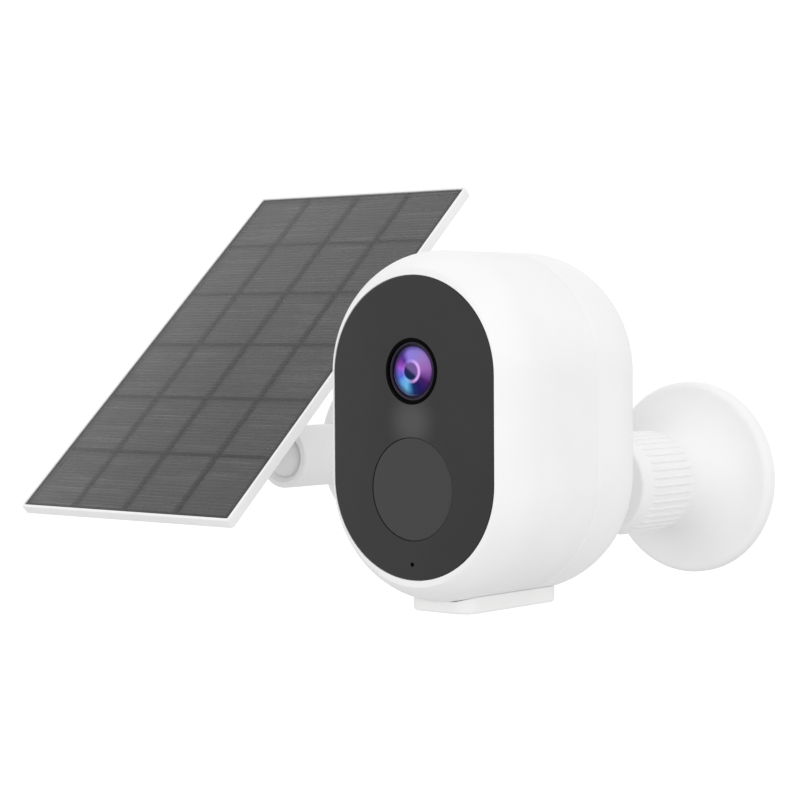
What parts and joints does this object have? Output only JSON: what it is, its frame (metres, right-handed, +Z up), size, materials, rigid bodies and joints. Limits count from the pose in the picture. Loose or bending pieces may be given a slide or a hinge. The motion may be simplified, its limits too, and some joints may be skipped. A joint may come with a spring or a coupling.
{
  "type": "solar security camera",
  "caption": "Battery security camera with a rounded stadium head and a tilted solar panel, each on its own wall bracket with a ball joint and lock nut.",
  "frame": {"origin": "centre of the camera bracket foot on the wall face", "axes": "+Y into the wall, +Z up, +X to the right when looking at the wall"},
  "size_m": [0.2041, 0.1375, 0.1233],
  "materials": {
    "white_shell": "satin",
    "white_matte": "matt",
    "white_stud": "satin powder coat",
    "white_rubber": "soft matt",
    "grey_rubber": "matt",
    "black_face": "smooth gloss",
    "pir_grey": "fine matt",
    "lens_black": "matt black",
    "lens_trim": "polished",
    "lens_glass": "coated",
    "circuit": "solder mask",
    "circuit_black": "solder mask",
    "led_clear": "clear resin",
    "steel": "plain",
    "brass": "turned",
    "cell_wrap": "shrink wrap",
    "inner_plastic": "moulded",
    "button_grey": "matt",
    "cell_dark": "smooth",
    "panel_glass": "satin laminate"
  },
  "bodies": {
    "wall_brackets": {"camera_wall_plate": "white_matte", "camera_flange": "white_shell", "panel_wall_plate": "white_matte", "panel_flange": "white_shell"},
    "camera_nut": {"camera_lock_nut": "white_shell"},
    "camera_cup": {"camera_ball_cup": "grey_rubber"},
    "camera_stud": {"camera_ball_stud": "white_stud"},
    "camera_ring": {"camera_lock_ring": "white_shell"},
    "head": {"front_shell": "white_shell", "rear_shell": "white_shell", "shell_seal": "grey_rubber", "case_screws": "steel", "mount_insert": "brass", "front_plate": "black_face", "pir_window": "pir_grey", "lens_bezel": "lens_black", "lens_retainer": "lens_trim", "lens_glass": "lens_glass", "lens_barrel": "lens_black", "inner_lenses": "lens_glass", "sensor_board": "circuit", "led_board": "circuit_black", "infrared_leds": "led_clear", "microphone": "steel", "pir_sensor": "steel", "pir_board": "circuit", "main_board": "circuit", "battery_cells": "cell_wrap", "battery_holder": "inner_plastic", "antenna": "brass", "speaker": "inner_plastic", "port_tray": "inner_plastic", "usb_port": "steel", "card_slot": "steel", "port_board": "circuit"},
    "cover": {"port_cover": "white_rubber"},
    "power": {"power_button": "button_grey"},
    "reset": {"reset_button": "button_grey"},
    "panel_nut": {"panel_lock_nut": "white_shell"},
    "panel_cup": {"panel_ball_cup": "grey_rubber"},
    "panel_stud": {"panel_ball_stud": "white_stud"},
    "panel_ring": {"panel_lock_ring": "white_shell"},
    "panel": {"panel_frame": "white_shell", "panel_back": "white_shell", "panel_screws": "steel", "panel_insert": "brass", "panel_backing": "circuit_black", "solar_cells": "cell_dark", "panel_sheet": "panel_glass", "charge_board": "circuit", "cable_gland": "inner_plastic"}
  },
  "joints": [
    {"name": "camera_nut_turn", "type": "hinge", "parent": "wall_brackets", "child": "camera_nut", "pos_m": [0, -0.038, 0], "axis": [0, -1, 0], "range_deg": [0, 120]},
    {"name": "camera_pan", "type": "hinge", "parent": "wall_brackets", "child": "camera_cup", "pos_m": [0, -0.0445, 0], "axis": [0, 0, 1], "range_deg": [-30, 30]},
    {"name": "camera_tilt", "type": "hinge", "parent": "camera_cup", "child": "camera_stud", "pos_m": [0, -0.0445, 0], "axis": [1, 0, 0], "range_deg": [-30, 30]},
    {"name": "camera_ring_turn", "type": "hinge", "parent": "camera_stud", "child": "camera_ring", "pos_m": [0, -0.0647, 0], "axis": [0, -1, 0], "range_deg": [0, 120]},
    {"name": "camera_roll", "type": "hinge", "parent": "camera_stud", "child": "head", "pos_m": [0, -0.0676, 0], "axis": [0, -1, 0], "range_deg": [-15, 15]},
    {"name": "cover_open", "type": "hinge", "parent": "head", "child": "cover", "pos_m": [0, -0.0851, -0.0282], "axis": [1, 0, 0], "range_deg": [0, 100]},
    {"name": "power_press", "type": "slide", "parent": "head", "child": "power", "axis": [0, 0, 1], "range_m": [0, 0.0005], "stiffness_N_per_m": 400},
    {"name": "reset_press", "type": "slide", "parent": "head", "child": "reset", "axis": [0, 0, 1], "range_m": [0, 0.0005], "stiffness_N_per_m": 400},
    {"name": "panel_nut_turn", "type": "hinge", "parent": "wall_brackets", "child": "panel_nut", "pos_m": [-0.1244, -0.043, 0.0045], "axis": [0, -1, 0], "range_deg": [0, 120]},
    {"name": "panel_pan", "type": "hinge", "parent": "wall_brackets", "child": "panel_cup", "pos_m": [-0.1244, -0.0516, 0.0045], "axis": [0, 0, 1], "range_deg": [-15, 15]},
    {"name": "panel_tilt", "type": "hinge", "parent": "panel_cup", "child": "panel_stud", "pos_m": [-0.1244, -0.0516, 0.0045], "axis": [1, 0, 0], "range_deg": [0, 48]},
    {"name": "panel_ring_turn", "type": "hinge", "parent": "panel_stud", "child": "panel_ring", "pos_m": [-0.1244, -0.06565, 0.01997], "axis": [0, -0.6722, 0.7403], "range_deg": [0, 120]},
    {"name": "panel_turn", "type": "hinge", "parent": "panel_stud", "child": "panel", "pos_m": [-0.1244, -0.06746, 0.02197], "axis": [0, -0.6722, 0.7403], "range_deg": [-10, 10]}
  ]
}
